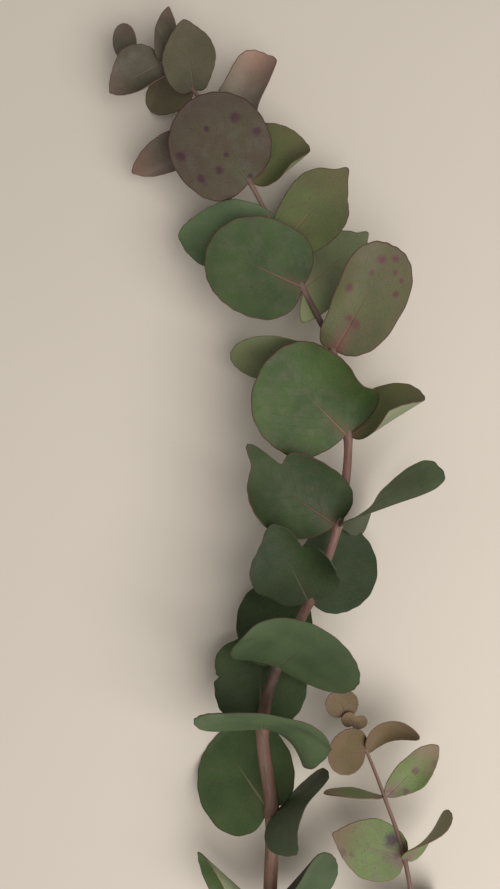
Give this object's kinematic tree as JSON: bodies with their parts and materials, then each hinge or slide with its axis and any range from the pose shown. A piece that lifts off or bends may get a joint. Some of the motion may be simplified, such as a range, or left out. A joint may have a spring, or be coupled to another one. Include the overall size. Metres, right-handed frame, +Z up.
{
  "type": "cut eucalyptus branch",
  "caption": "Cut eucalyptus branch lying on a surface: a bowed stem with round stalkless leaves in opposite pairs, and a slender side shoot with smaller leaves.",
  "frame": {"origin": "on the surface the branch lies on, under the middle of the whole branch's box", "axes": "+Y along the branch from the cut end towards the bowed tip, +X to the side that the side shoot leaves on, +Z up from the surface"},
  "size_m": [0.1542, 0.5288, 0.0652],
  "materials": {
    "main_leaf": "leathery green leaf with a waxy matte bloom, pink midrib, on a pinkish-brown stem",
    "shoot_leaf": "young olive and tan leaf, waxy matte, on a reddish-brown twig"
  },
  "bodies": {
    "root": {"leafy_main_stem": "main_leaf", "leafy_side_shoot": "shoot_leaf"}
  },
  "joints": []
}
